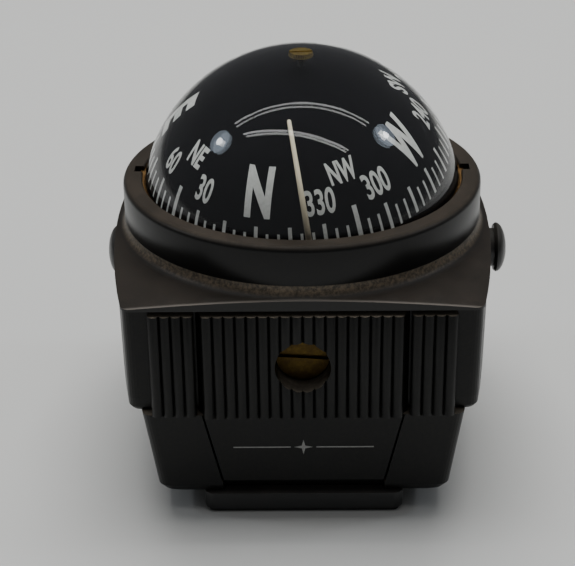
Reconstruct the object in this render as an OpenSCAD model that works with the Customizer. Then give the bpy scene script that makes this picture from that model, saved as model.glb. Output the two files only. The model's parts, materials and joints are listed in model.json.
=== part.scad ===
// Small dash-top binnacle compass: a liquid-filled dome capsule with a gimballed
// card, held by a bezel ring in a two-part ribbed case on a narrow foot.
// Millimetres. +Z is up, the reader looks along +Y at the front face, and the
// origin is the centre of the underside of the foot.

/* [Case] */
// Width of the deck across the middle of its bulged sides
deck_w = 78.6; // [78.4:0.1:79.4]
// Depth of the deck from front to back
deck_d = 78.2; // [78:0.2:80]
// Radius of the bulged sides of the deck and the upper case, seen from above
bulge_r = 180; // [170:5:220]
// Radius of the upright corners
corner_r = 2.2; // [1:0.1:3]
// Wall thickness of the case
wall = 2; // [1.6:0.1:2]
// Width of the lower case across its middle, where it meets the step
lower_w = 69.2; // [68.6:0.1:69.6]
// Radius of the gently bulged sides of the lower case
lower_bulge_r = 300; // [280:10:400]
// How far each side of the lower case leans inwards, per mm of height
lower_lean = 0.146; // [0.14:0.002:0.16]
// How far the front and back of the lower case lean inwards, per mm of height
front_lean = 0.14; // [0.1:0.005:0.15]

/* [Heights] */
// Underside of the case, and top of the foot plate
lower_z = 4.7; // [4.5:0.1:5]
// Step between the lower and the upper case
step_z = 25.3; // [25:0.1:26]
// Top of the ribs
rib_top_z = 47.9; // [47.5:0.1:48.2]
// Underside of the lip round the deck
lip_z = 49; // [48.8:0.1:49.1]
// Seat of the bezel ring on the deck
ring_z = 53.6; // [53.4:0.1:53.8]
// Top of the bezel ring
ring_top_z = 61.7; // [61.5:0.1:62.2]
// Centre of the dome, where the card tilts
dome_z = 54.3; // [54.2:0.05:54.4]

/* [Ribs] */
// Distance from rib to rib
rib_pitch = 2.2; // [2:0.05:2.2]
// Radius of each rounded rib
rib_r = 1.2; // [1.15:0.01:1.25]
// Ribs on each centre panel
centre_ribs = 18; // [14:2:18]
// Ribs on each plate beside the centre panel
side_ribs = 4; // [2:1:4]

/* [Capsule] */
// Outer radius of the dome
dome_r = 33.7; // [33.4:0.1:33.8]
// Wall thickness of the dome
dome_wall = 2; // [1.6:0.1:2.2]
// Outer radius of the bezel ring
ring_r = 37.5; // [37.4:0.1:38]
// Radius of the card
card_r = 26; // [25.6:0.1:26.2]

/* [Adjusters] */
// Radius of each screwdriver access hole
access_r = 5.5; // [5.3:0.1:5.8]
// Height of the fore-and-aft adjuster
fore_z = 36.6; // [36.5:0.05:36.7]
// Height of the athwartships adjuster
side_z = 32.75; // [32.7:0.05:32.8]

/* [Bracket studs] */
// Height of the two bracket studs
stud_z = 43.5; // [43.3:0.1:43.6]
// Radius of a stud's domed head
stud_head_r = 5.3; // [4.8:0.1:5.5]
// Radius of a stud's neck, where a bracket arm hangs
stud_neck_r = 4.1; // [3.8:0.1:4.2]

/* [Foot] */
// Width of the foot plate
foot_w = 41; // [40:0.5:41.5]
// Depth of the foot plate
foot_d = 72; // [70:1:73]
// Thickness of the pad under the foot plate
pad_h = 1; // [0.8:0.1:1.2]

/* [Hidden] */
$fn = 96;

eps = 0.01;
fit_gap = 0.05;             // running fit of a shaft in its bore
seam = 0.1;                 // gap between neighbouring mouldings
slab_h = 0.02;              // thickness of the slices that the case forms are hulled from
side_steps = 6;             // straight steps in half of a bulged side
corner_steps = 5;           // straight steps in a rounded corner

// Case
groove = 2.2;               // recess of the upper wall behind the lip and the centre ribs
wall_x = deck_w / 2 - 0.4;  // half-width of the upper wall at the lip
wall_y = deck_d / 2 - groove;
wall_taper = 0.3;           // how much the half-width shrinks from the lip to the step
lower_y = deck_d / 2 - 0.5; // half-depth of the lower case at the step
step_round = 3;             // rounding of the upper case into the step
side_rib_proud = 2.6;       // height of the side ribs above the wall
rib_crest_y = deck_d / 2 + 0.6; // crest of the centre ribs, proud of the lip
rib_gap = 0.75;             // half of the gap between centre and side ribs
panel_t = 1.8;              // thickness of the name panel
panel_top_x = 19.9;         // half-width of the name panel at the step
panel_low_x = 16.4;         // half-width of the name panel at its bottom
panel_z = 8.2;              // bottom of the name panel
panel_gap = 0.4;            // gap round the name panel
slot_x = 16.6;              // half-width of the dark slot under the name panel
slot_y = 33;                // how far in the slot is cut, from the middle of the case
chamfer_h = 0.7;            // rounding of the bottom edge, in two facets
case_screw_at = [23.5, 29];
case_post_r = 2;
case_boss_h = 5;            // height of the bosses in the case that the case screws pass through
case_web_t = 2;             // web from each boss to the wall
screw_r = 1.1;              // shank of the case screws
head_r = 1.9;               // head of the case screws
head_h = 1.4;
bottom_post_at = [24, 14];
bottom_post_r = 3;
bottom_post_h = 14;
bottom_top_z = lower_z + 2;
foot_screw_y = [-20, 20];
case_boss_z = step_z - 1;
lower_round_z = lower_z + 3 * chamfer_h;

// Bracket studs
stud_shank_r = 1.8;
stud_home_x = wall_x + fit_gap; // inner face of the head of a stud that is screwed home
stud_out = 2;               // how far the right stud is screwed out
stud_head_t = 2.7;
stud_rim_t = 0.5;           // upright edge of a stud's head
stud_end_x = 34.4;          // inner end of each stud
nut_x = 35.75;              // middle of each nut inside the case
nut_r = 3.1;
nut_t = 1.7;

// Deck
fillet_r = 2;               // fillet from the deck up to the bezel ring
deck_slope = 0.13;          // fall of the deck, per mm outwards
deck_far_r = 54;
seat_z = ring_z - 1.7;      // seat of the capsule flanges
seat_r = ring_r - 1.3;
bore_r = dome_r + 0.5;

// Capsule
inner_r = dome_r - dome_wall;
flange_r = seat_r - 0.2;
flange_h = 1.9;
ring_inner_r = dome_r + 0.6;
seal_h = 0.4;
bowl_r = dome_r - 0.3;
bowl_inner_r = inner_r - 0.9;
bowl_floor_z = 42;
bowl_floor_t = 1.4;
bowl_corner_r = 5;
bowl_low_z = bowl_floor_z - bowl_floor_t;
lubber_ring_h = 1.4;
lubber_r = inner_r - 2.6;   // radius of the curved lubber pin's centre line
lubber_base_r = 0.66;
lubber_tip_r = 0.38;
lubber_from = -3;           // angles above the horizon at which the pin starts and ends
lubber_to = 55.6;
lubber_steps = 14;
lubber_lean = 8.2;
lubber_yaw = 4.1;
ring_lip_r = 33.5;          // inner edge of the ring's top
ring_lip_z = ring_top_z - 0.9;
notch = [1.8, 2.9, 1.4];    // size of each notch in the ring's inner edge
notch_y = 1.5;
keeper_r = 2.4;
keeper_top_z = dome_z + dome_r - 0.1;
keeper_h = 2.3;
stop_r = 0.6;               // pin under the keeper screw
stop_in = 1;                // how far the pin goes up into the screw

// Card and gimbal, with heights measured from the centre of the dome
card_wall = 0.7;
card_rim = -1;
web_r = 16.6;
web_t = 0.6;
float_r = 21;
float_h = 4;
magnet = [3, 18, 2.6];
magnet_x = 18.2;
heading_turn = -19;         // north lies this far to the left of the front
hub_r = 2.6;
hub_low = 21.6;
jewel_r = 1.3;
jewel_low = 22.9;
jewel_t = 1;
dimple_r = 0.8;
dimple_h = 0.7;
gimbal_in = 10.5;
gimbal_out = 12.5;
gimbal_h = 3;
gimbal_pin_r = 0.6;
fork_in = 13.4;
fork_out = 14.8;
fork_half_y = 2.2;
fork_top = 2;
stand_t = 0.8;
cradle_r = 6.5;
cradle_h = 3;
post_r = 1.1;
post_top = 18;
pin_r = 0.5;
pin_top = 23.45;
weight_r = 8.3;
weight_sphere = 10.6;
weight_top = -3;

// Adjusters
shaft_r = 1.7;
adjuster_head_r = 5.35;
adjuster_head_t = 1.8;
fore_head_y = wall_y - wall - 0.1; // front face of the fore-and-aft adjuster's head
side_head_x = 34;
shaft_end = 12.4;
clip_r = 2.9;
clip_t = 0.8;
driver_slot = [0.9, 0.9];   // width and depth of a screwdriver slot
block = [20, 20, 13.1];
block_screw_at = 7;
block_z = bowl_low_z - block[2];
cross_r = 1;
cross_at = [14, 20];

// Diaphragm and fill plug
diaphragm_at = [-17, 14];
diaphragm_r = 7.5;
diaphragm_t = 1.2;
cap_h = 2.2;
cap_rim = 2.6;              // width of the rim that clamps the diaphragm
cap_screw_r = 0.7;
vent_at = 3;                // how far the vents in the bowl lie from the diaphragm's middle
vent_r = 1;
plug_at = [17, 14];
plug_r = 2;

// Points of a quarter of the plan, from the middle of the right side to the middle
// of the back: a bulged side, then a rounded corner tangent to it
function quarter(half_w, half_d, side_r) =
    let (centre_x = half_w - side_r,
         corner_y = half_d - corner_r,
         corner_a = asin(corner_y / (side_r - corner_r)),
         corner_x = centre_x + (side_r - corner_r) * cos(corner_a))
    concat([for (i = [0 : side_steps - 1])
                let (a = corner_a * i / side_steps) [centre_x + side_r * cos(a), side_r * sin(a)]],
           [for (i = [0 : corner_steps])
                let (a = corner_a + (90 - corner_a) * i / corner_steps)
                [corner_x + corner_r * cos(a), corner_y + corner_r * sin(a)]]);

function backwards(points) = [for (i = [len(points) - 1 : -1 : 0]) points[i]];

module plan(half_w, half_d, side_r = bulge_r) {
    right = quarter(half_w, half_d, side_r);
    left = [for (p = backwards(right)) [-p[0], p[1]]];
    back = concat(right, left);
    front = [for (p = backwards(back)) if (abs(p[1]) > eps) [p[0], -p[1]]];
    polygon(concat(back, front));
}

module slab(z, half_w, half_d, side_r = bulge_r) {
    translate([0, 0, z]) linear_extrude(slab_h) plan(half_w, half_d, side_r);
}

module lower_slab(z, half_w, half_d) {
    slab(z, half_w, half_d, lower_bulge_r);
}

// Solid form of the upper case, drawn in by inset from the outside
module upper_form(inset, low_z) {
    bottom_x = wall_x - wall_taper;
    hull() {
        slab(lip_z - slab_h, wall_x - inset, wall_y - inset);
        slab(step_z + step_round, bottom_x - inset, wall_y - inset);
        slab(max(low_z, step_z + step_round * 0.3), bottom_x - inset - 0.1, wall_y - inset - 0.2);
        slab(low_z, bottom_x - inset - 0.6, wall_y - inset - 0.9);
    }
}

function lower_x(z) = lower_w / 2 - lower_lean * (step_z - z);
function lower_front(z) = lower_y - front_lean * (step_z - z);

// Solid form of the lower case
module lower_form() {
    hull() {
        lower_slab(step_z, lower_x(step_z), lower_front(step_z));
        lower_slab(lower_round_z, lower_x(lower_round_z), lower_front(lower_round_z));
        lower_slab(lower_z + chamfer_h, lower_x(lower_z) - 0.8, lower_front(lower_z) - 0.5);
        lower_slab(lower_z, lower_x(lower_z) - 2.2, lower_front(lower_z) - 1.3);
    }
}

module lower_cavity() {
    hull() {
        lower_slab(step_z + step_round, lower_x(step_z) - wall, wall_y - wall);
        lower_slab(lower_z - slab_h, lower_x(lower_z) - 3, lower_front(lower_z) - 4.2);
    }
}

module rib_row(count, crest_y, low_z) {
    for (i = [0 : count - 1]) {
        translate([(i - (count - 1) / 2) * rib_pitch, rib_r - crest_y, low_z])
            cylinder(r = rib_r, h = rib_top_z - low_z, $fn = 32);
    }
}

// Outline of the name panel, seen from the front
module panel_outline(gap) {
    polygon([[-panel_top_x - gap, step_z + eps], [panel_top_x + gap, step_z + eps],
             [panel_low_x + gap, panel_z - gap], [-panel_low_x - gap, panel_z - gap]]);
}

// The name panel's leaning slice of the front, as a solid as wide as the case
module panel_slice(depth, proud) {
    rotate([90, 0, 90]) linear_extrude(deck_w, center = true)
        polygon([[-lower_front(step_z) - proud, step_z],
                 [-lower_front(0) - proud, 0],
                 [-lower_front(0) + depth, 0],
                 [-lower_front(step_z) + depth, step_z]]);
}

module name_panel(gap, depth, proud) {
    intersection() {
        translate([0, -deck_d / 4, 0]) rotate([90, 0, 0])
            linear_extrude(deck_d / 2, center = true) panel_outline(gap);
        panel_slice(depth, proud);
    }
}

module at_corners(at) {
    for (x = [-1, 1], y = [-1, 1]) translate([x * at[0], y * at[1], 0]) children();
}

module both_ends() {
    children();
    rotate([0, 0, 180]) children();
}

module body_shell() {
    side_row_w = side_ribs * rib_pitch;
    side_x = (centre_ribs * rib_pitch) / 2 + 2 * rib_gap + side_row_w / 2;
    color("#232321") difference() {
        union() {
            upper_form(0, step_z);
            lower_form();
            both_ends() for (s = [-1, 1]) {
                translate([s * side_x, 0, 0]) rib_row(side_ribs, wall_y + side_rib_proud, step_z - eps);
                // Solid backing that joins the ribs to the wall
                translate([s * side_x - side_row_w / 2, rib_r - side_rib_proud - wall_y, step_z - eps])
                    cube([side_row_w, side_rib_proud, rib_top_z - step_z + eps]);
            }
        }
        difference() {
            upper_form(wall, step_z + wall);
            case_bosses();
        }
        translate([0, 0, lip_z - 1]) linear_extrude(2) plan(wall_x - wall, wall_y - wall);
        difference() {
            lower_cavity();
            case_bosses();
            at_corners(bottom_post_at) translate([0, 0, bottom_top_z]) {
                cylinder(r = bottom_post_r, h = bottom_post_h);
                translate([-2 * bottom_post_r, -case_web_t / 2, 0])
                    cube([4 * bottom_post_r, case_web_t, bottom_post_h]);
            }
        }
        both_ends() name_panel(panel_gap, panel_t, 1);
        both_ends() translate([-slot_x, -deck_d / 2, 0]) cube([2 * slot_x, deck_d / 2 - slot_y, panel_z]);
        translate([0, -deck_d / 2, fore_z]) rotate([-90, 0, 0]) cylinder(r = access_r, h = 8);
        translate([side_head_x, 0, side_z]) rotate([0, 90, 0]) cylinder(r = access_r, h = 8);
        translate([-deck_w, 0, stud_z]) rotate([0, 90, 0]) cylinder(r = stud_shank_r + fit_gap, h = 2 * deck_w);
        at_corners(case_screw_at) translate([0, 0, case_boss_z - 1]) cylinder(r = screw_r, h = case_boss_h + 2);
        at_corners(bottom_post_at) cylinder(r = screw_r - 0.1, h = bottom_top_z + 9);
    }
}

// Bosses on the front and back walls that the case screws pass up through
module case_bosses() {
    at_corners(case_screw_at) translate([0, 0, case_boss_z]) {
        cylinder(r = case_post_r, h = case_boss_h);
        translate([-case_web_t / 2, case_screw_at[1] - wall_y, 0])
            cube([case_web_t, 2 * (wall_y - case_screw_at[1]), case_boss_h]);
    }
}

module panel(with_hole) {
    half_w = centre_ribs * rib_pitch / 2;
    color("#1b1b1a") difference() {
        union() {
            rib_row(centre_ribs, rib_crest_y, step_z - 0.4);
            translate([0, 0, step_z]) linear_extrude(rib_top_z - step_z)
                polygon([[-half_w, -deck_d / 2 + 0.75], [half_w, -deck_d / 2 + 0.75],
                         [half_w + 1.1, -wall_y], [-half_w - 1.1, -wall_y]]);
            name_panel(0, panel_t - eps, 0);
        }
        if (with_hole) {
            translate([0, -deck_d / 2 - 1, fore_z]) rotate([-90, 0, 0]) cylinder(r = access_r, h = 5);
        }
        // Nothing of the ribs stays inside the wall
        translate([-deck_w / 2, -wall_y, step_z + eps]) cube([deck_w, 5, rib_top_z]);
    }
}

module front_panel() {
    panel(true);
}

module rear_panel() {
    rotate([0, 0, 180]) panel(false);
}

// Cross-section of the deck: a shallow cone with a fillet up to the bezel ring
module deck_profile() {
    foot_r = ring_r + fillet_r;
    top = ring_z - 0.5;
    arc = [for (a = [180 : 15 : 270]) [foot_r + fillet_r * cos(a), top + fillet_r * sin(a)]];
    polygon(concat([[bore_r, lip_z], [bore_r, ring_z], [ring_r, ring_z]], arc,
                   [[deck_far_r, top - fillet_r - deck_slope * (deck_far_r - foot_r)], [deck_far_r, lip_z]]));
}

module top_cover() {
    color("#3b3833") difference() {
        union() {
            intersection() {
                translate([0, 0, lip_z]) linear_extrude(ring_z) plan(deck_w / 2, deck_d / 2);
                rotate_extrude() deck_profile();
            }
            translate([0, 0, lip_z - 2.4]) linear_extrude(2.4 + eps) difference() {
                plan(wall_x - wall - 0.2, wall_y - wall - seam);
                plan(wall_x - wall - 1.2, wall_y - wall - 1.1);
            }
            at_corners(case_screw_at) translate([0, 0, case_boss_z + case_boss_h + seam])
                cylinder(r = case_post_r - seam, h = lip_z - case_boss_z - case_boss_h - seam + eps);
        }
        translate([0, 0, lip_z - 4]) cylinder(r = bore_r, h = ring_z);
        translate([0, 0, seat_z]) cylinder(r = seat_r, h = ring_z);
        at_corners(case_screw_at) cylinder(r = screw_r, h = lip_z - 4);
    }
}

// Slotted pan-head screw, with its head's outer face at z = 0 and its shank up
module screw(shank_r, shank_h, top_r, top_h) {
    difference() {
        union() {
            cylinder(r = top_r, h = top_h, $fn = 48);
            cylinder(r = shank_r, h = top_h + shank_h, $fn = 48);
        }
        translate([-top_r, -0.3, -eps]) cube([2 * top_r, 0.6, 0.6 + eps]);
    }
}

module case_screws() {
    color("silver") at_corners(case_screw_at) translate([0, 0, case_boss_z - head_h])
        screw(screw_r - fit_gap, 16, head_r, head_h - eps);
}

module bottom_cover() {
    color("#1d1d1c") difference() {
        intersection() {
            lower_cavity();
            translate([-deck_w / 2, -deck_d / 2, lower_z]) cube([deck_w, deck_d, bottom_top_z - lower_z]);
        }
        at_corners(bottom_post_at) {
            cylinder(r = screw_r, h = deck_w);
            cylinder(r = head_r + seam, h = lower_z + 1.2);
        }
        for (y = foot_screw_y) translate([0, y, 0]) cylinder(r = screw_r, h = deck_w);
    }
}

module bottom_screws() {
    color("silver") at_corners(bottom_post_at) translate([0, 0, lower_z])
        screw(screw_r - 0.1 - fit_gap, 9, head_r, 1.2 - eps);
}

// Rectangle with rounded corners
module rounded(w, d, r) {
    square([w - 2 * r, d], center = true);
    square([w, d - 2 * r], center = true);
    for (x = [-1, 1], y = [-1, 1]) translate([x * (w / 2 - r), y * (d / 2 - r)]) circle(r = r);
}

module foot_plate() {
    color("#1d1d1c") difference() {
        translate([0, 0, pad_h]) linear_extrude(lower_z - pad_h) rounded(foot_w, foot_d, 2);
        for (y = foot_screw_y) translate([0, y, 0]) {
            cylinder(r = screw_r, h = deck_w);
            cylinder(r = head_r + seam, h = pad_h + head_h);
        }
    }
}

module foot_screws() {
    color("silver") for (y = foot_screw_y) translate([0, y, pad_h])
        screw(screw_r - eps, lower_z - pad_h, head_r, head_h - eps);
}

module foot_pad() {
    color("#2b2a28") linear_extrude(pad_h) rounded(foot_w - 1.4, foot_d - 1.4, 1.5);
}

// Bracket stud along +X, screwed out of the case by a given distance: a shank
// through the wall, a neck where a bracket arm hangs and a domed head
module stud(out) {
    shank_h = stud_home_x + out - stud_end_x;
    dome = [for (a = [0 : 10 : 90]) [stud_head_r * cos(a), stud_rim_t + (stud_head_t - stud_rim_t) * sin(a)]];
    color("#1a1a1a") translate([stud_home_x + out, 0, stud_z]) rotate([0, 90, 0]) {
        translate([0, 0, -shank_h]) cylinder(r = stud_shank_r, h = shank_h + eps);
        if (out > 0) {
            translate([0, 0, -out]) cylinder(r = stud_neck_r, h = out + eps);
        }
        rotate_extrude() polygon(concat([[0, 0], [stud_head_r - 0.4, 0]], dome));
    }
}

module stud_right() {
    stud(stud_out);
}

module stud_left() {
    mirror([1, 0, 0]) stud(0);
}

module stud_nuts() {
    color("silver") for (s = [-1, 1]) translate([s * nut_x, 0, stud_z]) rotate([0, 90, 0]) difference() {
        rotate([0, 0, 30]) cylinder(r = nut_r, h = nut_t, center = true, $fn = 6);
        cylinder(r = stud_shank_r + fit_gap, h = 2 * nut_t, center = true);
    }
}

module bezel_ring() {
    edge_r = 1.2;
    shoulder_z = ring_z + flange_h + 0.4;
    rim = [for (a = [0 : 15 : 90]) [ring_r - edge_r + edge_r * cos(a), ring_top_z - edge_r + edge_r * sin(a)]];
    color("#2c2a27") difference() {
        rotate_extrude() polygon(concat([[seat_r, ring_z], [ring_r, ring_z]], rim,
            [[ring_lip_r + 0.3, ring_top_z], [ring_lip_r, ring_top_z - 0.3], [ring_lip_r, ring_lip_z],
             [ring_inner_r, ring_lip_z], [ring_inner_r, shoulder_z], [seat_r, shoulder_z]]));
        for (s = [-1, 1]) translate([s * (ring_lip_r + (notch[0] - 1) / 2), notch_y, ring_top_z])
            cube([notch[0] + 1, notch[1], 2 * notch[2]], center = true);
    }
}

module dome_gasket() {
    low_z = ring_z + flange_h + seam;
    high_z = ring_lip_z - 0.2;
    against_r = dome_r + 0.05;
    steps = 6;
    inside = [for (i = [0 : steps]) let (z = high_z - (high_z - low_z) * i / steps)
        [sqrt(against_r * against_r - (z - dome_z) * (z - dome_z)), z]];
    color("#8a5a22") rotate_extrude()
        polygon(concat([[ring_inner_r - eps, low_z], [ring_inner_r - eps, high_z]], inside));
}

module dome_lens() {
    color([0.75, 0.8, 0.8, 0.35]) difference() {
        union() {
            intersection() {
                translate([0, 0, dome_z]) sphere(r = dome_r);
                translate([0, 0, ring_z]) cylinder(r = dome_r + 1, h = dome_r + 2);
            }
            translate([0, 0, ring_z]) cylinder(r = flange_r, h = flange_h);
        }
        translate([0, 0, dome_z]) sphere(r = inner_r);
        translate([0, 0, ring_z]) cylinder(r = keeper_r, h = 2 * dome_r);
    }
}

// Slotted brass plug screw in the apex of the dome
module keeper_screw() {
    color("#b08d3c") difference() {
        translate([0, 0, keeper_top_z - keeper_h]) cylinder(r = keeper_r, h = keeper_h);
        translate([0, 0, keeper_top_z]) rotate([0, 0, 6])
            cube([2 * keeper_r + 1, 0.8, 1.2], center = true);
        translate([0, 0, keeper_top_z - keeper_h - 1]) cylinder(r = stop_r, h = stop_in + 1);
    }
}

// Black pin under the keeper screw that keeps the card from lifting off its pivot
module card_stop() {
    stop_z = dome_z + card_r + 0.7;
    color("#111111") translate([0, 0, stop_z])
        cylinder(r = stop_r - eps, h = keeper_top_z - keeper_h + stop_in - eps - stop_z);
}

module ring_of(inside, outside, low_z, high_z) {
    translate([0, 0, low_z]) difference() {
        cylinder(r = outside, h = high_z - low_z);
        translate([0, 0, -1]) cylinder(r = inside, h = high_z - low_z + 2);
    }
}

module capsule_seal() {
    color("#111111") ring_of(inner_r, flange_r - 0.1, ring_z - seal_h, ring_z);
}

module capsule_bowl() {
    top = ring_z - seal_h;
    step = top - lubber_ring_h;
    out_corner = bowl_corner_r + 0.9;
    inner_arc = [for (a = [270 : 15 : 360])
        [bowl_inner_r - bowl_corner_r + bowl_corner_r * cos(a),
         bowl_floor_z + bowl_corner_r + bowl_corner_r * sin(a)]];
    outer_arc = [for (a = [360 : -15 : 270])
        [bowl_r - out_corner + out_corner * cos(a), bowl_low_z + out_corner + out_corner * sin(a)]];
    color("#151515") difference() {
        rotate_extrude() polygon(concat([[0, bowl_floor_z]], inner_arc,
            [[bowl_inner_r, step], [inner_r, step], [inner_r, top], [flange_r, top],
             [flange_r, seat_z], [bowl_r, seat_z]], outer_arc, [[0, bowl_low_z]]));
        at_corners([block_screw_at, block_screw_at]) cylinder(r = screw_r, h = deck_w);
        translate([plug_at[0], plug_at[1], 0]) cylinder(r = plug_r, h = deck_w);
        translate([diaphragm_at[0], diaphragm_at[1], 0]) for (a = [0 : 120 : 359]) {
            rotate([0, 0, a]) translate([vent_at, 0, 0]) cylinder(r = vent_r, h = deck_w, $fn = 32);
        }
    }
}

module lubber_ring() {
    top = ring_z - seal_h;
    color("#161616") ring_of(lubber_r - 1.2, inner_r - fit_gap, top - lubber_ring_h, top);
}

// Curved, tapered pin that rises from its ring and follows the dome
module lubber_pin() {
    span = lubber_to - lubber_from;
    color("#e9dfc4") translate([0, 0, dome_z]) rotate([0, -lubber_lean, 0]) rotate([0, 0, lubber_yaw])
        for (i = [0 : lubber_steps - 1]) hull() for (k = [i, i + 1]) {
            rise = lubber_from + span * k / lubber_steps;
            rotate([-rise, 0, 0]) translate([0, -lubber_r, 0])
                sphere(r = lubber_base_r + (lubber_tip_r - lubber_base_r) * k / lubber_steps, $fn = 16);
        }
}

module pivot_stand() {
    base_z = bowl_floor_z - dome_z;
    color("#6d6f70") translate([0, 0, dome_z]) difference() {
        union() {
            translate([0, 0, base_z]) cylinder(r = fork_in - 1, h = stand_t);
            translate([-fork_out, -fork_half_y, base_z]) cube([2 * fork_out, 2 * fork_half_y, stand_t]);
            for (s = [-1, 1]) translate([s * (fork_in + fork_out) / 2, 0, (base_z + fork_top) / 2])
                cube([fork_out - fork_in, 2 * fork_half_y, fork_top - base_z], center = true);
        }
        rotate([0, 90, 0]) cylinder(r = gimbal_pin_r + fit_gap, h = 3 * fork_out, center = true, $fn = 32);
        at_corners([block_screw_at, block_screw_at]) translate([0, 0, -2 * dome_r])
            cylinder(r = screw_r - 0.1, h = 3 * dome_r);
    }
}

// Places children at the diaphragm under the bowl, pointing down from a given depth
module under_bowl(depth) {
    translate([diaphragm_at[0], diaphragm_at[1], bowl_low_z - depth]) mirror([0, 0, 1]) children();
}

module at_cap_screws() {
    for (a = [60 : 120 : 359]) rotate([0, 0, a]) translate([diaphragm_r - cap_rim / 2, 0, 0]) children();
}

module diaphragm() {
    color("#101010") under_bowl(0) difference() {
        cylinder(r = diaphragm_r, h = diaphragm_t);
        translate([0, 0, -1]) cylinder(r = diaphragm_r - cap_rim, h = diaphragm_t + 0.5);
    }
}

module diaphragm_cap() {
    color("#6d6f70") under_bowl(diaphragm_t) difference() {
        cylinder(r = diaphragm_r, h = cap_h);
        translate([0, 0, -1]) cylinder(r = diaphragm_r - cap_rim, h = cap_h + 0.2);
        cylinder(r = vent_r, h = 2 * cap_h);
        at_cap_screws() translate([0, 0, -1]) cylinder(r = cap_screw_r, h = 2 * cap_h, $fn = 32);
    }
}

module diaphragm_screws() {
    color("silver") under_bowl(diaphragm_t) at_cap_screws() {
        cylinder(r = cap_screw_r - eps, h = cap_h, $fn = 32);
        translate([0, 0, cap_h]) cylinder(r = cap_screw_r + 0.4, h = 0.7, $fn = 32);
    }
}

module fill_plug() {
    color("#b08d3c") translate([plug_at[0], plug_at[1], bowl_low_z - 2.4])
        screw(plug_r - eps, 2.8, 3.2, 1.6);
}

module fill_washer() {
    color("#101010") translate([plug_at[0], plug_at[1], bowl_low_z - 0.8]) difference() {
        cylinder(r = 3.4, h = 0.8);
        translate([0, 0, -1]) cylinder(r = plug_r, h = 3);
    }
}

module adjuster_block() {
    color("#8f9192") difference() {
        translate([-block[0] / 2, -block[1] / 2, block_z]) cube(block);
        translate([0, 0, fore_z]) rotate([90, 0, 0])
            cylinder(r = shaft_r + fit_gap, h = 2 * block[1], center = true);
        translate([0, 0, side_z]) rotate([0, 90, 0])
            cylinder(r = shaft_r + fit_gap, h = 2 * block[0], center = true);
        at_corners([block_screw_at, block_screw_at]) cylinder(r = screw_r, h = deck_w);
    }
}

module block_screws() {
    color("silver") at_corners([block_screw_at, block_screw_at]) translate([0, 0, block_z - head_h])
        screw(screw_r - 0.1 - eps, bowl_floor_z + stand_t - block_z, head_r, head_h);
}

module gimbal_ring() {
    color("#b08d3c") translate([0, 0, dome_z]) difference() {
        ring_of(gimbal_in, gimbal_out, -gimbal_h / 2, gimbal_h / 2);
        rotate([0, 90, 0]) cylinder(r = gimbal_pin_r, h = 3 * gimbal_out, center = true, $fn = 32);
        rotate([90, 0, 0]) cylinder(r = gimbal_pin_r + fit_gap, h = 3 * gimbal_out, center = true, $fn = 32);
    }
}

// One pin on each side, from inside to outside of the radii given, along X
module pin_pair(from_r, to_r) {
    for (s = [-1, 1]) translate([s * (from_r + to_r) / 2, 0, dome_z]) rotate([0, 90, 0])
        cylinder(r = gimbal_pin_r, h = to_r - from_r, center = true, $fn = 32);
}

module gimbal_pins() {
    color("silver") pin_pair(gimbal_in + 0.3, fork_out + 0.3);
}

module cradle_pins() {
    color("silver") rotate([0, 0, 90]) pin_pair(cradle_r - 2, gimbal_out - 0.3);
}

module cradle() {
    color("#8f9192") translate([0, 0, dome_z]) difference() {
        union() {
            cylinder(r = cradle_r, h = cradle_h, center = true);
            cylinder(r = post_r, h = post_top);
        }
        for (s = [-1, 1]) translate([0, s * cradle_r, 0]) rotate([90, 0, 0])
            cylinder(r = gimbal_pin_r, h = 4, center = true, $fn = 32);
        translate([0, 0, post_top - 3]) cylinder(r = pin_r, h = 5, $fn = 32);
    }
}

module counterweight() {
    color("#b08d3c") translate([0, 0, dome_z]) {
        intersection() {
            sphere(r = weight_sphere);
            translate([0, 0, weight_top - weight_sphere]) cylinder(r = weight_r, h = weight_sphere);
        }
        translate([0, 0, weight_top - eps]) cylinder(r = 2, h = -weight_top - cradle_h / 2 + eps);
    }
}

module pivot_pin() {
    tip_h = 0.8;
    color("silver") translate([0, 0, dome_z]) {
        translate([0, 0, post_top - 3]) cylinder(r = pin_r, h = pin_top - tip_h - post_top + 3, $fn = 32);
        translate([0, 0, pin_top - tip_h]) cylinder(r1 = pin_r, r2 = 0.05, h = tip_h, $fn = 32);
    }
}

module compass_card() {
    color("#0e0e0e") translate([0, 0, dome_z]) difference() {
        union() {
            difference() {
                sphere(r = card_r);
                sphere(r = card_r - card_wall);
                translate([0, 0, card_rim - 2 * card_r]) cylinder(r = 2 * card_r, h = 2 * card_r);
            }
            intersection() {
                union() {
                    ring_of(web_r, card_r, 0, web_t);
                    translate([0, 0, hub_low]) cylinder(r = hub_r, h = card_r - hub_low);
                }
                sphere(r = card_r - card_wall / 2);
            }
        }
        translate([0, 0, hub_low - 1]) cylinder(r = jewel_r, h = jewel_low + jewel_t - hub_low + 1);
    }
}

module jewel() {
    color("#a0305a") translate([0, 0, dome_z + jewel_low]) difference() {
        cylinder(r = jewel_r, h = jewel_t);
        translate([0, 0, -eps]) cylinder(r1 = dimple_r, r2 = 0.1, h = dimple_h, $fn = 32);
    }
}

module card_float() {
    color("#c9c4b4") translate([0, 0, dome_z]) ring_of(web_r + 0.2, float_r, web_t, web_t + float_h);
}

module card_magnets() {
    color("#777777") translate([0, 0, dome_z]) rotate([0, 0, heading_turn]) for (s = [-1, 1])
        translate([s * magnet_x, 0, -magnet[2] / 2]) cube(magnet, center = true);
}

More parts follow.
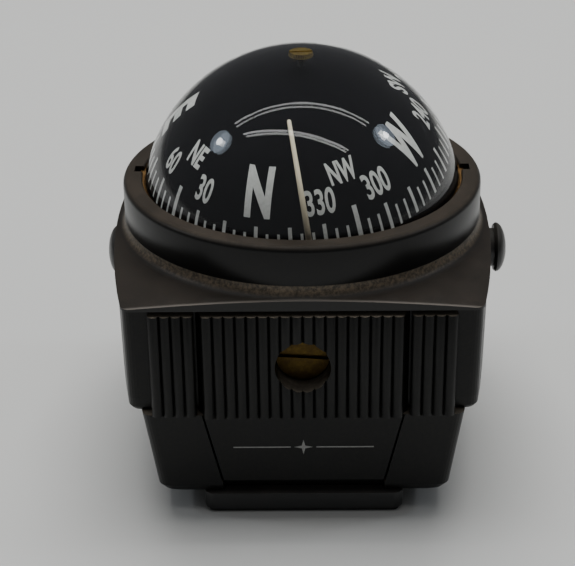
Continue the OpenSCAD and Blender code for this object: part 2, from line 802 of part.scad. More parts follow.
// Slotted adjuster along +Z, with its head's face at z = 0
module adjuster(length, slot_turn) {
    difference() {
        union() {
            cylinder(r = adjuster_head_r, h = adjuster_head_t);
            cylinder(r = shaft_r, h = length);
        }
        rotate([0, 0, slot_turn])
            cube([2 * adjuster_head_r + 1, driver_slot[0], 2 * driver_slot[1]], center = true);
        for (at = cross_at) translate([0, 0, at]) rotate([90, 0, 0])
            cylinder(r = cross_r, h = 3 * shaft_r, center = true, $fn = 32);
    }
}

module cross_magnets() {
    for (at = cross_at) translate([0, 0, at]) rotate([90, 0, 0])
        cylinder(r = cross_r - eps, h = 2 * shaft_r - 0.4, center = true, $fn = 32);
}

module clip() {
    difference() {
        cylinder(r = clip_r, h = clip_t);
        translate([0, 0, -1]) cylinder(r = shaft_r, h = 3);
        translate([-1.2, 0, -1]) cube([2.4, clip_r + 1, 3]);
    }
}

module fore_axis() {
    translate([0, -fore_head_y, fore_z]) rotate([-90, 0, 0]) children();
}

module side_axis() {
    translate([side_head_x, 0, side_z]) rotate([0, -90, 0]) children();
}

module fore_adjuster() {
    color("#b08d3c") fore_axis() adjuster(fore_head_y + shaft_end, 4);
}

module fore_magnets() {
    color("#777777") fore_axis() cross_magnets();
}

module fore_clip() {
    color("silver") fore_axis() translate([0, 0, fore_head_y + block[1] / 2 + 0.4]) clip();
}

module side_adjuster() {
    color("#b08d3c") side_axis() adjuster(side_head_x + shaft_end, 30);
}

module side_magnets() {
    color("#777777") side_axis() cross_magnets();
}

module side_clip() {
    color("silver") side_axis() translate([0, 0, side_head_x + block[0] / 2 + 0.4]) clip();
}

body_shell();
front_panel();
rear_panel();
top_cover();
case_screws();
bottom_cover();
bottom_screws();
foot_plate();
foot_screws();
foot_pad();
stud_left();
stud_right();
stud_nuts();
bezel_ring();
dome_gasket();
dome_lens();
keeper_screw();
card_stop();
capsule_seal();
capsule_bowl();
lubber_ring();
lubber_pin();
pivot_stand();
diaphragm();
diaphragm_cap();
diaphragm_screws();
fill_plug();
fill_washer();
adjuster_block();
block_screws();
gimbal_ring();
gimbal_pins();
cradle();
cradle_pins();
counterweight();
pivot_pin();
compass_card();
card_float();
card_magnets();
jewel();
fore_adjuster();
fore_magnets();
fore_clip();
side_adjuster();
side_magnets();
side_clip();
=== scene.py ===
"""Looks for the binnacle compass: materials, card markings, liquid, floor, light and camera."""
import json
import math

import bmesh
import bpy
from mathutils import Matrix, Vector


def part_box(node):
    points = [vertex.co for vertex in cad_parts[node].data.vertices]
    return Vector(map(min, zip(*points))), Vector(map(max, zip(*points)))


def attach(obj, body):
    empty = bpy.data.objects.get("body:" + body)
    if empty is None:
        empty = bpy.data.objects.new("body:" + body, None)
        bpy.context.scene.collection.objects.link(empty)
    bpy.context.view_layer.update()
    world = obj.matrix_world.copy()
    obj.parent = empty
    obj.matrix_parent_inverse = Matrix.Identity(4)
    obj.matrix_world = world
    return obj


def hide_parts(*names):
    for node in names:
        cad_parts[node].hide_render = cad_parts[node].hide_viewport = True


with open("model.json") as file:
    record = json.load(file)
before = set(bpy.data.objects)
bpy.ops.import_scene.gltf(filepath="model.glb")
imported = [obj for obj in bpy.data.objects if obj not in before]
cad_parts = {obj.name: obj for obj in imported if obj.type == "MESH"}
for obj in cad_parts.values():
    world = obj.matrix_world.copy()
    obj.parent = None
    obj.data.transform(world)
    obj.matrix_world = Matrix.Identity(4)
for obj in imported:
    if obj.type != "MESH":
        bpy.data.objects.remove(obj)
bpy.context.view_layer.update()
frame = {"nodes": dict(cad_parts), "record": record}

MM = 0.001
NODES = frame["nodes"]

# ---------------------------------------------------------------- places, from the CAD frame
DOME_R = 33.7 * MM
DOME_CENTRE = Vector((0, 0, (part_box("gimbal_ring")[0].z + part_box("gimbal_ring")[1].z) / 2))
INNER_R = DOME_R - 2 * MM
CARD_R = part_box("compass_card")[1].x
BOWL_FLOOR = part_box("pivot_stand")[0].z
FILLET_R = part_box("bezel_ring")[1].x
FILLET_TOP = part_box("bezel_ring")[0].z + 0.3 * MM
LUBBER_RING_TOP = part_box("lubber_ring")[1].z
LIP_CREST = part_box("top_cover")[1].y

# ---------------------------------------------------------------- camera
CAMERA_DISTANCE = 350 * MM
CAMERA_ELEVATION = math.radians(27.178)
CAMERA_AZIMUTH = math.radians(0.727)
CAMERA_ROLL = math.radians(-0.722)
CAMERA_AIM = Vector((0, 0, 51 * MM))
CAMERA_SIDESTEP = -3.304 * MM
CAMERA_RISE = -14.143 * MM
CAMERA_LENS = 102.76

# ---------------------------------------------------------------- card print
HEADING = 340.9            # compass point that faces the reader
DIP_FORWARD = math.radians(8.5)
DIP_SIDEWAYS = math.radians(-4.46)
PRINT_LIFT = 0.03 * MM
PRINT_T = 0.05 * MM
IOR_IN_LIQUID = 1.1        # paint under liquid hardly shines
TICK_LOW = 11.7            # elevations on the card are in degrees
TICK_KINDS = {"small": (20.2, 0.5 * MM), "medium": (22.95, 0.7 * MM), "long": (27.35, 0.9 * MM)}
NUMBER_SPAN = (26.6, 37.2)
CARDINAL_SPAN = (26.3, 47.5)
MIDPOINT_SPAN = (37.0, 46.6)
CARDINALS = {"N": (0, 5.0 * MM), "E": (90, 3.9 * MM), "S": (180, 4.4 * MM), "W": (270, 7.0 * MM)}
MIDPOINTS = {"NE": (45, 4.2 * MM), "SE": (135, 4.2 * MM), "SW": (225, 5.5 * MM), "NW": (315, 5.5 * MM)}
DIGIT_W = 1.75 * MM
DIGIT_GAP = 0.15 * MM
CARDINAL_BOLD = 0.045
MIDPOINT_BOLD = 0.032
NUMBER_BOLD = 0.022

# ---------------------------------------------------------------- name panel
PANEL_LEAN = 0.14          # how far the panel leans inwards, per length of height
PANEL_TOP = 25.3 * MM
PANEL_SET_BACK = 1.1 * MM  # the panel's face at its top lies this far behind the ribs
PANEL_MARK_Z = 17 * MM


# ================================================================ small mesh helpers
def new_object(name, mesh):
    obj = bpy.data.objects.new(name, mesh)
    bpy.context.scene.collection.objects.link(obj)
    return obj


def mesh_from(name, points, faces):
    mesh = bpy.data.meshes.new(name)
    mesh.from_pydata([tuple(p) for p in points], [], faces)
    mesh.validate()
    mesh.update()
    return mesh


def smooth(obj, angle=40):
    for poly in obj.data.polygons:
        poly.use_smooth = True
    obj.data.set_sharp_from_angle(angle=math.radians(angle))
    return obj


def revolve(name, profile, steps=128):
    """Closed solid from (radius, height) points that start and end on the axis."""
    rings = profile[1:-1]
    points = [(0, 0, profile[0][1]), (0, 0, profile[-1][1])]
    for r, z in rings:
        for i in range(steps):
            a = 2 * math.pi * i / steps
            points.append((r * math.cos(a), r * math.sin(a), z))
    faces = []
    for i in range(steps):
        j = (i + 1) % steps
        faces.append((0, 2 + i, 2 + j))
        last = 2 + (len(rings) - 1) * steps
        faces.append((1, last + j, last + i))
        for k in range(len(rings) - 1):
            a, b = 2 + k * steps, 2 + (k + 1) * steps
            faces.append((a + i, b + i, b + j, a + j))
    obj = new_object(name, mesh_from(name, points, faces))
    fix_normals(obj)
    return obj


def fix_normals(obj):
    bm = bmesh.new()
    bm.from_mesh(obj.data)
    bmesh.ops.recalc_face_normals(bm, faces=bm.faces)
    bm.to_mesh(obj.data)
    bm.free()


# ================================================================ materials
class Nodes:
    """Short hand for building one material's node tree."""

    def __init__(self, name):
        self.material = bpy.data.materials.new(name)
        self.material.use_nodes = True
        self.tree = self.material.node_tree
        self.tree.nodes.clear()
        self.out = self.tree.nodes.new("ShaderNodeOutputMaterial")

    def add(self, kind, **inputs):
        node = self.tree.nodes.new("ShaderNode" + kind)
        for key, value in inputs.items():
            self.set(node, key.replace("_", " "), value)
        return node

    def set(self, node, key, value):
        socket = node.inputs[int(key)] if key.isdigit() else node.inputs[key]
        if isinstance(value, bpy.types.NodeSocket):
            self.tree.links.new(value, socket)
        elif isinstance(value, bpy.types.Node):
            self.tree.links.new(value.outputs[0], socket)
        else:
            socket.default_value = value

    def coords(self):
        return self.add("TexCoord").outputs["Object"]

    def noise(self, scale, detail=4.0, rough=0.55, stretch=(1, 1, 1)):
        mapping = self.add("Mapping", Vector=self.coords(), Scale=stretch)
        node = self.add("TexNoise", Vector=mapping.outputs[0])
        node.inputs["Scale"].default_value = scale
        node.inputs["Detail"].default_value = detail
        node.inputs["Roughness"].default_value = rough
        return node.outputs["Fac"]

    def ramp(self, value, low, high, to_low=0.0, to_high=1.0):
        node = self.add("MapRange")
        self.set(node, "Value", value)
        for key, number in (("From Min", low), ("From Max", high), ("To Min", to_low), ("To Max", to_high)):
            node.inputs[key].default_value = number
        return node.outputs[0]

    def math(self, operation, a, b):
        node = self.add("Math")
        node.operation = operation
        self.set(node, "0", a)
        self.set(node, "1", b)
        return node.outputs[0]

    def mix(self, factor, a, b):
        node = self.add("Mix")
        node.data_type = "RGBA"
        self.tree.links.new(factor, node.inputs[0])
        for socket, value in ((node.inputs[6], a), (node.inputs[7], b)):
            if isinstance(value, bpy.types.NodeSocket):
                self.tree.links.new(value, socket)
            else:
                socket.default_value = (*value, 1)
        return node.outputs[2]

    def facing_up(self, low, high):
        normal = self.add("NewGeometry").outputs["Normal"]
        split = self.add("SeparateXYZ", Vector=normal)
        return self.ramp(split.outputs["Z"], low, high)

    def length(self, x, y):
        squares = [self.math("MULTIPLY", side, side) for side in (x, y)]
        return self.math("SQRT", self.math("ADD", *squares), 0.0)

    def lip_edge(self):
        """Painted highlight: a pale band along the upper edge of the deck's front and back lips, where they
        face up.
        """
        depth = self.math("ABSOLUTE", self.add("SeparateXYZ", Vector=self.coords()).outputs["Y"], 0.0)
        near = self.ramp(depth, LIP_CREST - 0.8 * MM, LIP_CREST - 0.3 * MM)
        return self.math("MULTIPLY", near, self.facing_up(0.2, 0.6))

    def fillet_band(self):
        """Where dust gathers: the fillet between the deck and the foot of the bezel ring."""
        place = self.add("SeparateXYZ", Vector=self.coords())
        radius = self.length(place.outputs["X"], place.outputs["Y"])
        near = self.ramp(radius, FILLET_R + 0.9 * MM, FILLET_R + 0.1 * MM)
        low = self.ramp(place.outputs["Z"], FILLET_TOP, FILLET_TOP - 0.5 * MM)
        return self.math("MULTIPLY", near, low)

    def bump(self, height, strength, distance):
        node = self.add("Bump")
        node.inputs["Strength"].default_value = strength
        node.inputs["Distance"].default_value = distance
        self.set(node, "Height", height)
        return node.outputs[0]

    def principled(self, **inputs):
        node = self.tree.nodes.new("ShaderNodeBsdfPrincipled")
        for key, value in inputs.items():
            self.set(node, key.replace("_", " "), value)
        self.tree.links.new(node.outputs[0], self.out.inputs[0])
        return node


def dusty_plastic(name, base, dust, amount, rough, dust_from=0.1, dust_to=0.9, in_fillet=0.0, shine=0.5):
    """Moulded plastic with dust on what faces up and faint mottling all over.

    Dust starts where the surface's upward slope passes dust_from, and is full at dust_to.
    The deck also has in_fillet, how thick the dust lies at the foot of the bezel ring, and a
    painted highlight along the upper edge of its lip.
    """
    n = Nodes(name)
    fine = n.noise(1400, 6, 0.7)
    broad = n.noise(120, 4, 0.6)
    up = n.facing_up(dust_from, dust_to)
    patchy = n.math("MULTIPLY", n.ramp(broad, 0.3, 0.7, 0.55, 1.0), n.ramp(fine, 0.35, 0.75, 0.7, 1.15))
    cover = n.math("MULTIPLY", n.math("MULTIPLY", up, patchy), amount)
    film = n.math("MULTIPLY", n.ramp(fine, 0.45, 0.8), 0.02)
    factor = n.math("ADD", cover, film)
    colour = n.mix(factor, base, dust)
    if in_fillet:
        gathered = n.math("MULTIPLY", n.fillet_band(), n.ramp(fine, 0.4, 0.62, 0.2, in_fillet))
        colour = n.mix(gathered, colour, GATHERED_DUST)
        # Painted highlight: the upper edge of the deck's lip is made pale
        colour = n.mix(n.math("MULTIPLY", n.lip_edge(), LIP_HIGHLIGHT_AMOUNT), colour, LIP_HIGHLIGHT_COLOUR)
    roughness = n.ramp(factor, 0.0, 0.6, rough, 0.85)
    n.principled(Base_Color=colour, Roughness=roughness, Specular_IOR_Level=shine,
                 Normal=n.bump(fine, 0.25, 0.02 * MM))
    return n.material


def metal(name, colour, dark, rough, scale=900):
    n = Nodes(name)
    stain = n.noise(scale, 5, 0.65)
    brushed = n.noise(2500, 2, 0.5, (1, 8, 1))
    tone = n.mix(n.ramp(stain, 0.35, 0.75), colour, dark)
    n.principled(Base_Color=tone, Metallic=1.0, Roughness=n.ramp(brushed, 0.3, 0.7, rough, rough + 0.2),
                 Normal=n.bump(brushed, 0.2, 0.01 * MM))
    return n.material


def clear(name, tint, ior, grain):
    """Clear solid that lets lamps through to what is inside it."""
    n = Nodes(name)
    haze = n.ramp(n.noise(grain, 5, 0.7), 0.55, 0.9, 0.0, 0.03)
    glass = n.principled(Base_Color=(*tint, 1), Roughness=haze, Transmission_Weight=1.0, IOR=ior)
    through = n.add("BsdfTransparent")
    mix = n.add("MixShader")
    n.tree.links.new(n.add("LightPath").outputs["Is Shadow Ray"], mix.inputs[0])
    n.tree.links.new(glass.outputs[0], mix.inputs[1])
    n.tree.links.new(through.outputs[0], mix.inputs[2])
    n.tree.links.new(mix.outputs[0], n.out.inputs[0])
    return n.material, glass


def dome_plastic():
    return clear("dome_clear_look", (1, 1, 1), 1.49, 500)[0]


def liquid():
    material, glass = clear("capsule_liquid_look", (0.99, 0.995, 0.98), 1.45, 40)
    glass.inputs["Specular Tint"].default_value = (0, 0, 0, 1)
    return material


def card_black():
    n = Nodes("card_black_look")
    speck = n.noise(2200, 5, 0.7)
    colour = n.mix(n.ramp(speck, 0.5, 0.85), (0.004, 0.004, 0.005), (0.011, 0.011, 0.012))
    n.principled(Base_Color=colour, Roughness=n.ramp(speck, 0.3, 0.7, 0.45, 0.6), IOR=IOR_IN_LIQUID)
    return n.material


def pale_print(name, colour, worn, ior):
    n = Nodes(name)
    speck = n.noise(1500, 5, 0.7)
    n.principled(Base_Color=n.mix(n.ramp(speck, 0.35, 0.8), colour, worn),
                 Roughness=n.ramp(speck, 0.3, 0.7, 0.5, 0.65), IOR=ior)
    return n.material


def lubber_cream():
    n = Nodes("lubber_cream_look")
    height = n.add("SeparateXYZ", Vector=n.coords()).outputs["Z"]
    # Darker towards the bottom: cream above 17 mm over the dome's centre, dark brown below 6 mm
    darker_low = n.ramp(height, DOME_CENTRE.z + 6 * MM, DOME_CENTRE.z + 17 * MM, 1.0, 0.0)
    speck = n.ramp(n.noise(900, 4, 0.6), 0.3, 0.7, 0.8, 1.0)
    colour = n.mix(n.math("MULTIPLY", darker_low, speck), (0.86, 0.77, 0.55), (0.05, 0.035, 0.02))
    n.principled(Base_Color=colour, Roughness=n.ramp(speck, 0.8, 1.0, 0.35, 0.5))
    return n.material


def rubber(name, base, pale, scale=1800):
    n = Nodes(name)
    grain = n.noise(scale, 5, 0.7)
    colour = n.mix(n.ramp(grain, 0.4, 0.8), base, pale)
    n.principled(Base_Color=colour, Roughness=n.ramp(grain, 0.3, 0.7, 0.6, 0.85),
                 Normal=n.bump(grain, 0.3, 0.03 * MM))
    return n.material


def jewel_red():
    n = Nodes("jewel_red_look")
    cloud = n.noise(1500, 3, 0.5)
    colour = n.mix(n.ramp(cloud, 0.3, 0.8), (0.5, 0.03, 0.1), (0.3, 0.01, 0.05))
    n.principled(Base_Color=colour, Roughness=0.1)
    return n.material


GATHERED_DUST = (0.19, 0.145, 0.095)
# Colour and strength of the painted highlight along the upper edge of the deck's lip
LIP_HIGHLIGHT_COLOUR = (0.17, 0.15, 0.13)
LIP_HIGHLIGHT_AMOUNT = 0.6
CASE_BLACK = (0.0022, 0.0024, 0.0022)
CASE_DUST = (0.32, 0.27, 0.21)

LOOKS = {
    "case_black": dusty_plastic("case_black_look", CASE_BLACK, CASE_DUST, amount=0.7, rough=0.4,
                                dust_from=0.3, shine=0.25),
    "panel_black": dusty_plastic("panel_black_look", CASE_BLACK, CASE_DUST, amount=0.7, rough=0.38,
                                 dust_from=0.3, shine=0.25),
    "deck_plastic": dusty_plastic("deck_plastic_look", (0.006, 0.006, 0.0055), (0.13, 0.1, 0.075),
                                  amount=0.19, rough=0.42, dust_from=0.3, dust_to=0.97, in_fillet=0.85,
                                  shine=0.4),
    "foot_plastic": dusty_plastic("foot_plastic_look", (0.014, 0.014, 0.014), (0.1, 0.09, 0.08), amount=0.8,
                                  rough=0.5),
    "stud_black": dusty_plastic("stud_black_look", (0.008, 0.008, 0.008), (0.09, 0.08, 0.065), amount=0.4,
                                rough=0.3),
    "pad_rubber": rubber("pad_rubber_look", (0.012, 0.012, 0.011), (0.04, 0.038, 0.034)),
    "amber_seal": rubber("amber_seal_look", (0.09, 0.045, 0.012), (0.17, 0.1, 0.035), 900),
    "black_rubber": rubber("black_rubber_look", (0.01, 0.01, 0.01), (0.03, 0.03, 0.03)),
    "bowl_black": rubber("bowl_black_look", (0.006, 0.006, 0.006), (0.016, 0.016, 0.016)),
    "float_cream": rubber("float_cream_look", (0.5, 0.47, 0.38), (0.62, 0.58, 0.48)),
    "steel": metal("steel_look", (0.5, 0.5, 0.51), (0.3, 0.3, 0.3), 0.25),
    "grey_metal": metal("grey_metal_look", (0.55, 0.55, 0.56), (0.4, 0.4, 0.4), 0.35),
    "magnet_grey": metal("magnet_grey_look", (0.25, 0.25, 0.26), (0.12, 0.12, 0.12), 0.4),
    "brass": metal("brass_look", (0.42, 0.32, 0.12), (0.24, 0.15, 0.07), 0.42),
    "dome_clear": dome_plastic(),
    "lubber_cream": lubber_cream(),
    "card_black": card_black(),
    "jewel_red": jewel_red(),
}
# Nodes whose surface differs from the rest of their slot
NODE_LOOKS = {
    "bezel_ring": dusty_plastic("bezel_ring_look", (0.005, 0.005, 0.005), (0.14, 0.11, 0.08), amount=0.3,
                                rough=0.3, dust_from=0.35, dust_to=0.95, shine=0.25),
    "keeper_screw": metal("keeper_look", (0.72, 0.56, 0.2), (0.4, 0.28, 0.14), 0.5, 500),
    # Fore adjuster: brass darkened far below the other brass, painted shade for the shadow in its well
    "fore_adjuster": metal("adjuster_painted_shade_look", (0.12, 0.08, 0.022), (0.06, 0.038, 0.018), 0.45),
}


# ================================================================ CAD nodes keep their shape
BEVELS = {
    "body_shell": 0.25, "front_panel": 0.15, "rear_panel": 0.15, "top_cover": 0.35, "bezel_ring": 0.12,
    "foot_plate": 0.3, "foot_pad": 0.1,
}


def finish_cad_nodes():
    for sub in frame["record"]["subparts"]:
        obj = NODES[sub["node"]]
        obj.data.materials.clear()
        obj.data.materials.append(NODE_LOOKS.get(sub["node"], LOOKS[sub["material_slot"]]))
    for name, width in BEVELS.items():
        obj = NODES[name]
        weld = obj.modifiers.new("weld", "WELD")
        weld.merge_threshold = 0.002 * MM
        bevel = obj.modifiers.new("bevel", "BEVEL")
        bevel.width = width * MM
        bevel.segments = 2
        bevel.limit_method = "ANGLE"
        bevel.angle_limit = math.radians(40)


# ================================================================ card markings
def card_tilt():
    return Matrix.Rotation(DIP_SIDEWAYS, 4, "Y") @ Matrix.Rotation(DIP_FORWARD, 4, "X")


def on_card(compass, elevation, radius):
    """Point on the card at a compass bearing and an elevation, both in degrees."""
    a = math.radians(HEADING - compass)
    e = math.radians(elevation)
    local = Vector((math.sin(a) * math.cos(e), -math.cos(a) * math.cos(e), math.sin(e)))
    return DOME_CENTRE + (card_tilt() @ local) * radius


def solid_print(bm):
    """Gives a sheet of print that lies on the card its small thickness."""
    bmesh.ops.recalc_face_normals(bm, faces=bm.faces)
    for face in bm.faces:
        if face.normal.dot(face.calc_center_median() - DOME_CENTRE) < 0:
            face.normal_flip()
    bmesh.ops.solidify(bm, geom=bm.faces[:], thickness=PRINT_T)


def marking_object(name, bm):
    mesh = bpy.data.meshes.new(name)
    bm.to_mesh(mesh)
    bm.free()
    obj = new_object(name, mesh)
    obj.data.materials.append(PRINT)
    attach(obj, "card")


def tick_kind(bearing):
    if bearing % 90 == 45:
        return "long"
    return "medium" if bearing % 15 == 0 else "small"


def build_ticks():
    bm = bmesh.new()
    radius = CARD_R + PRINT_LIFT
    rows = 6
    for bearing in range(0, 360, 5):
        top, width = TICK_KINDS[tick_kind(bearing)]
        previous = None
        for i in range(rows + 1):
            elevation = TICK_LOW + (top - TICK_LOW) * i / rows
            half = math.degrees(width / 2 / (CARD_R * math.cos(math.radians(elevation))))
            row = [bm.verts.new(on_card(bearing + s * half, elevation, radius)) for s in (-1, 0, 1)]
            if previous:
                for k in range(2):
                    bm.faces.new((previous[k], previous[k + 1], row[k + 1], row[k]))
            previous = row
    solid_print(bm)
    marking_object("card_ticks", bm)


def glyphs(text, boldness):
    """Flat outline of a short text as a bmesh, with its bounds."""
    curve = bpy.data.curves.new("glyphs", "FONT")
    curve.body = text
    curve.offset = boldness
    curve.resolution_u = 5
    obj = new_object("glyphs", curve)
    depsgraph = bpy.context.evaluated_depsgraph_get()
    mesh = bpy.data.meshes.new_from_object(obj.evaluated_get(depsgraph))
    bm = bmesh.new()
    bm.from_mesh(mesh)
    bpy.data.objects.remove(obj)
    bpy.data.meshes.remove(mesh)
    bmesh.ops.remove_doubles(bm, verts=bm.verts, dist=1e-4)
    xs = [v.co.x for v in bm.verts]
    ys = [v.co.y for v in bm.verts]
    return bm, (min(xs), max(xs), min(ys), max(ys))


def wrap_text(target, text, bearing, span, width, boldness):
    """Writes text on the card, centred on a bearing, between two elevations."""
    bm, (x0, x1, y0, y1) = glyphs(text, boldness)
    bmesh.ops.triangulate(bm, faces=bm.faces)
    height = math.radians(span[1] - span[0]) * CARD_R
    longest, most_rounds = 0.7 * MM, 5
    for v in bm.verts:
        v.co.x = ((v.co.x - x0) / (x1 - x0) - 0.5) * width
        v.co.y = (v.co.y - y0) / (y1 - y0) * height
    for _ in range(most_rounds):
        long_edges = [e for e in bm.edges if e.calc_length() > longest]
        if not long_edges:
            break
        bmesh.ops.subdivide_edges(bm, edges=long_edges, cuts=1)
        bmesh.ops.triangulate(bm, faces=bm.faces)
    made = {}
    for v in bm.verts:
        elevation = span[0] + math.degrees(v.co.y / CARD_R)
        turn = math.degrees(v.co.x / (CARD_R * math.cos(math.radians(elevation))))
        made[v] = target.verts.new(on_card(bearing - turn, elevation, CARD_R + PRINT_LIFT))
    for f in bm.faces:
        wrapped = [made[v] for v in f.verts]
        if not target.faces.get(wrapped):
            target.faces.new(wrapped)
    bm.free()


def build_letters():
    letters = bmesh.new()
    for text, (bearing, width) in CARDINALS.items():
        wrap_text(letters, text, bearing, CARDINAL_SPAN, width, CARDINAL_BOLD)
    for text, (bearing, width) in MIDPOINTS.items():
        wrap_text(letters, text, bearing, MIDPOINT_SPAN, width, MIDPOINT_BOLD)
    solid_print(letters)
    marking_object("card_letters", letters)
    numbers = bmesh.new()
    for bearing in range(0, 360, 30):
        if bearing % 90:
            text = str(bearing)
            width = DIGIT_W * len(text) + DIGIT_GAP * (len(text) - 1)
            wrap_text(numbers, text, bearing, NUMBER_SPAN, width, NUMBER_BOLD)
    solid_print(numbers)
    marking_object("card_numbers", numbers)


# ================================================================ mark on the name panel
def panel_point(x, up, out):
    """Point on the leaning name panel, from its middle: across, up its slope and outwards."""
    lean = math.atan(PANEL_LEAN)
    z = PANEL_MARK_Z + up * math.cos(lean)
    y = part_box("front_panel")[0].y + PANEL_SET_BACK + PANEL_LEAN * (PANEL_TOP - z)
    return Vector((x, y - out * math.cos(lean), z - out * math.sin(lean)))


def build_panel_mark():
    """A plain rule broken by a small four-point star, printed on the name panel."""
    half_rule, half_gap, half_t = 14.2 * MM, 2.6 * MM, 0.14 * MM
    long_r, short_r = 1.9 * MM, 0.5 * MM
    star = []
    for k in range(8):
        a = math.radians(45 * k)
        r = long_r if k % 2 == 0 else short_r
        star.append((r * math.cos(a), r * math.sin(a)))
    outlines = [star]
    for s in (-1, 1):
        ends = sorted((s * half_gap, s * half_rule))
        outlines.append([(ends[0], -half_t), (ends[1], -half_t), (ends[1], half_t), (ends[0], half_t)])
    points, faces = [], []
    for outline in outlines:
        first, count = len(points), len(outline)
        for out in (PRINT_T, -PRINT_T / 2):
            points += [panel_point(x, up, out) for x, up in outline]
        faces.append(tuple(first + k for k in range(count)))
        faces.append(tuple(first + count + k for k in reversed(range(count))))
        for k in range(count):
            j = (k + 1) % count
            faces.append((first + j, first + k, first + count + k, first + count + j))
    obj = new_object("panel_mark", mesh_from("panel_mark", points, faces))
    fix_normals(obj)
    obj.data.materials.append(pale_print("panel_mark_look", (0.3, 0.3, 0.29), (0.2, 0.2, 0.19), 1.45))
    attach(obj, "case")


# ================================================================ liquid and lubber pin
def build_liquid():
    """The damping liquid, reaching a hair's breadth into the walls that hold it."""
    reach = 0.05 * MM
    radius = INNER_R + reach
    top = LUBBER_RING_TOP + 0.2 * MM
    arc_end = math.asin((top - DOME_CENTRE.z) / radius)
    steps = 40
    profile = []
    for i in range(steps + 1):
        a = math.pi / 2 + (arc_end - math.pi / 2) * i / steps
        profile.append((radius * math.cos(a), DOME_CENTRE.z + radius * math.sin(a)))
    bowl_step, corner, corner_steps = 0.9 * MM, 5 * MM, 8
    bowl_r = INNER_R - bowl_step + reach
    step_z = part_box("lubber_ring")[0].z - reach
    profile += [(radius, step_z), (bowl_r, step_z)]
    corner_r, corner_z = bowl_r - corner, BOWL_FLOOR - reach + corner
    for i in range(corner_steps + 1):
        a = -math.pi / 2 * i / corner_steps
        profile.append((corner_r + corner * math.cos(a), corner_z + corner * math.sin(a)))
    profile.append((0, BOWL_FLOOR - reach))
    obj = revolve("capsule_liquid", profile)
    smooth(obj, 50)
    obj.data.materials.append(liquid())
    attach(obj, "case")


def build_lubber():
    """Smooth tapered pin on the same curve as its CAD node."""
    radius, lean, yaw = 29.1 * MM, math.radians(8.2), math.radians(4.1)
    start, end = math.radians(-3), math.radians(55.6)
    base_r, tip_r = 0.66 * MM, 0.38 * MM
    rows, sides, cap_rows = 48, 24, 6
    turn = Matrix.Rotation(-lean, 4, "Y") @ Matrix.Rotation(yaw, 4, "Z")
    points, faces = [], []

    def ring(angle, size):
        centre = Vector((0, -radius * math.cos(angle), radius * math.sin(angle)))
        out = centre.normalized()
        for k in range(sides):
            b = 2 * math.pi * k / sides
            around = out * math.cos(b) + Vector((1, 0, 0)) * math.sin(b)
            points.append(DOME_CENTRE + turn @ (centre + around * size))

    for i in range(rows + 1):
        t = i / rows
        ring(start + (end - start) * t, base_r + (tip_r - base_r) * t)
    for i in range(1, cap_rows):
        b = math.pi / 2 * i / cap_rows
        ring(end + tip_r * math.sin(b) / radius, tip_r * math.cos(b))
    total = len(points) // sides
    for i in range(total - 1):
        for k in range(sides):
            j = (k + 1) % sides
            faces.append((i * sides + k, i * sides + j, (i + 1) * sides + j, (i + 1) * sides + k))
    faces.append(tuple(range(sides - 1, -1, -1)))
    faces.append(tuple((total - 1) * sides + k for k in range(sides)))
    obj = new_object("lubber_pin_smooth", mesh_from("lubber_pin_smooth", points, faces))
    fix_normals(obj)
    smooth(obj, 60)
    obj.data.materials.append(LOOKS["lubber_cream"])
    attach(obj, "case")
    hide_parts("lubber_pin")


# ================================================================ stage
def plain(name, colour, rough):
    n = Nodes(name)
    soft = n.noise(6, 3, 0.5)
    n.principled(Base_Color=n.mix(soft, colour, tuple(0.97 * c for c in colour)), Roughness=rough)
    return n.material


def build_floor():
    size = 3.0
    points = [(-size, -size, 0), (size, -size, 0), (size, size, 0), (-size, size, 0)]
    mesh = mesh_from("floor", points, [(0, 1, 2, 3)])
    floor = new_object("floor", mesh)
    floor.data.materials.append(plain("floor_look", (0.62, 0.62, 0.6), 0.8))


def aim(obj, at):
    direction = Vector(at) - obj.location
    obj.rotation_euler = direction.to_track_quat("-Z", "Y").to_euler()


def area_light(name, place, at, size, power, shape="RECTANGLE", colour=(1, 1, 1)):
    data = bpy.data.lights.new(name, "AREA")
    data.shape = shape
    data.size, data.size_y = size
    data.energy = power
    data.color = colour
    obj = new_object(name, data)
    obj.location = place
    aim(obj, at)
    return obj


def tube(name, start, end, at, width, power):
    """Long thin light from start to end that shines towards a point."""
    start, end = Vector(start), Vector(end)
    light = area_light(name, (start + end) / 2, at, ((end - start).length, width), power)
    along = (end - start).normalized()
    away = (light.location - Vector(at)).normalized()
    across = away.cross(along).normalized()
    light.rotation_euler = Matrix((along, across, along.cross(across))).transposed().to_euler()
    return light


def lamp(name, way, target):
    """Round lamp: a small bright middle in a wide, dim reflector."""
    reflector_w, reflector_power, cool = 0.24, 0.42, (0.72, 0.84, 1)
    middle_w, middle_power, middle_ahead = 0.07, 0.3, 0.02
    centre = target + Vector(way).normalized()
    nearer = centre - Vector(way) * middle_ahead
    area_light(name + "_reflector", centre, target, (reflector_w, reflector_w), reflector_power, "DISK", cool)
    area_light(name + "_middle", nearer, target, (middle_w, middle_w), middle_power, "DISK")


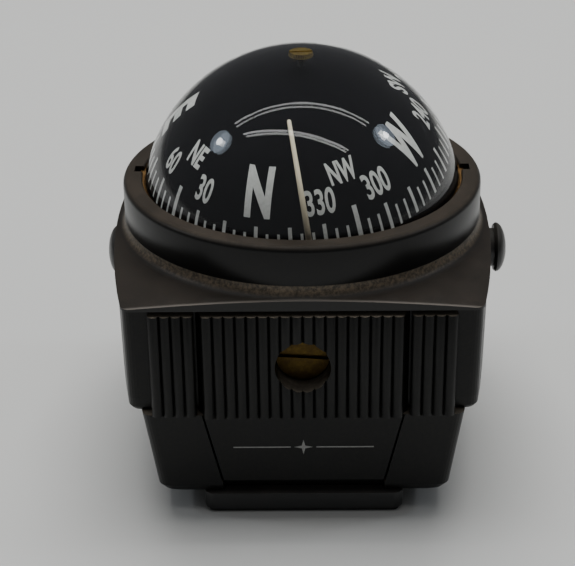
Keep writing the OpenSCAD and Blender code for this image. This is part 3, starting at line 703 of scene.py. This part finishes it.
def build_lights():
    """A broad soft light from above, two long tube fittings and two round lamps."""
    target = Vector((0, 0, 0.05))
    overhead_w, overhead_power = 0.9, 15
    soft = area_light("overhead", (0, 0.3, 1.1), target, (overhead_w, overhead_w), overhead_power)
    soft.visible_glossy = False
    soft.visible_transmission = False
    height, tube_w, tube_power = 1.2, 0.035, 1.3
    # Ends of the two fittings, sideways and backwards per length of height over the target
    fittings = {
        "fitting_back": ((-0.816, 0.121), (0.816, 0.121)),
        "fitting_front": ((-0.72, -0.13), (0.65, -0.47)),
    }
    for name, ends in fittings.items():
        start, end = (Vector((x * height, y * height, height + target.z)) for x, y in ends)
        tube(name, start, end, target, tube_w, tube_power)
    lamp("lamp_left", (-0.773, 0.012, 0.636), target)
    lamp("lamp_right", (0.769, 0.092, 0.632), target)
    world = bpy.data.worlds.new("world")
    bpy.context.scene.world = world
    world.use_nodes = True
    background = world.node_tree.nodes["Background"]
    background.inputs["Color"].default_value = (0.8, 0.82, 0.85, 1)
    background.inputs["Strength"].default_value = 0.15


def build_camera():
    back = Vector((math.sin(CAMERA_AZIMUTH) * math.cos(CAMERA_ELEVATION),
                   -math.cos(CAMERA_AZIMUTH) * math.cos(CAMERA_ELEVATION), math.sin(CAMERA_ELEVATION)))
    right = Vector((math.cos(CAMERA_AZIMUTH), math.sin(CAMERA_AZIMUTH), 0))
    up = back.cross(right)
    place = CAMERA_AIM + back * CAMERA_DISTANCE + right * CAMERA_SIDESTEP + up * CAMERA_RISE
    turned_right = right * math.cos(CAMERA_ROLL) + up * math.sin(CAMERA_ROLL)
    turned_up = up * math.cos(CAMERA_ROLL) - right * math.sin(CAMERA_ROLL)
    data = bpy.data.cameras.new("camera")
    data.sensor_width = 36
    data.lens = CAMERA_LENS
    data.clip_start = 0.01
    camera = new_object("camera", data)
    rotation = Matrix((turned_right, turned_up, back)).transposed().to_4x4()
    camera.matrix_world = Matrix.Translation(place) @ rotation
    bpy.context.scene.camera = camera


PRINT = pale_print("card_print_look", (0.62, 0.63, 0.6), (0.46, 0.47, 0.44), IOR_IN_LIQUID)
build_camera()
build_floor()
build_lights()
finish_cad_nodes()
build_ticks()
build_letters()
build_panel_mark()
build_liquid()
build_lubber()
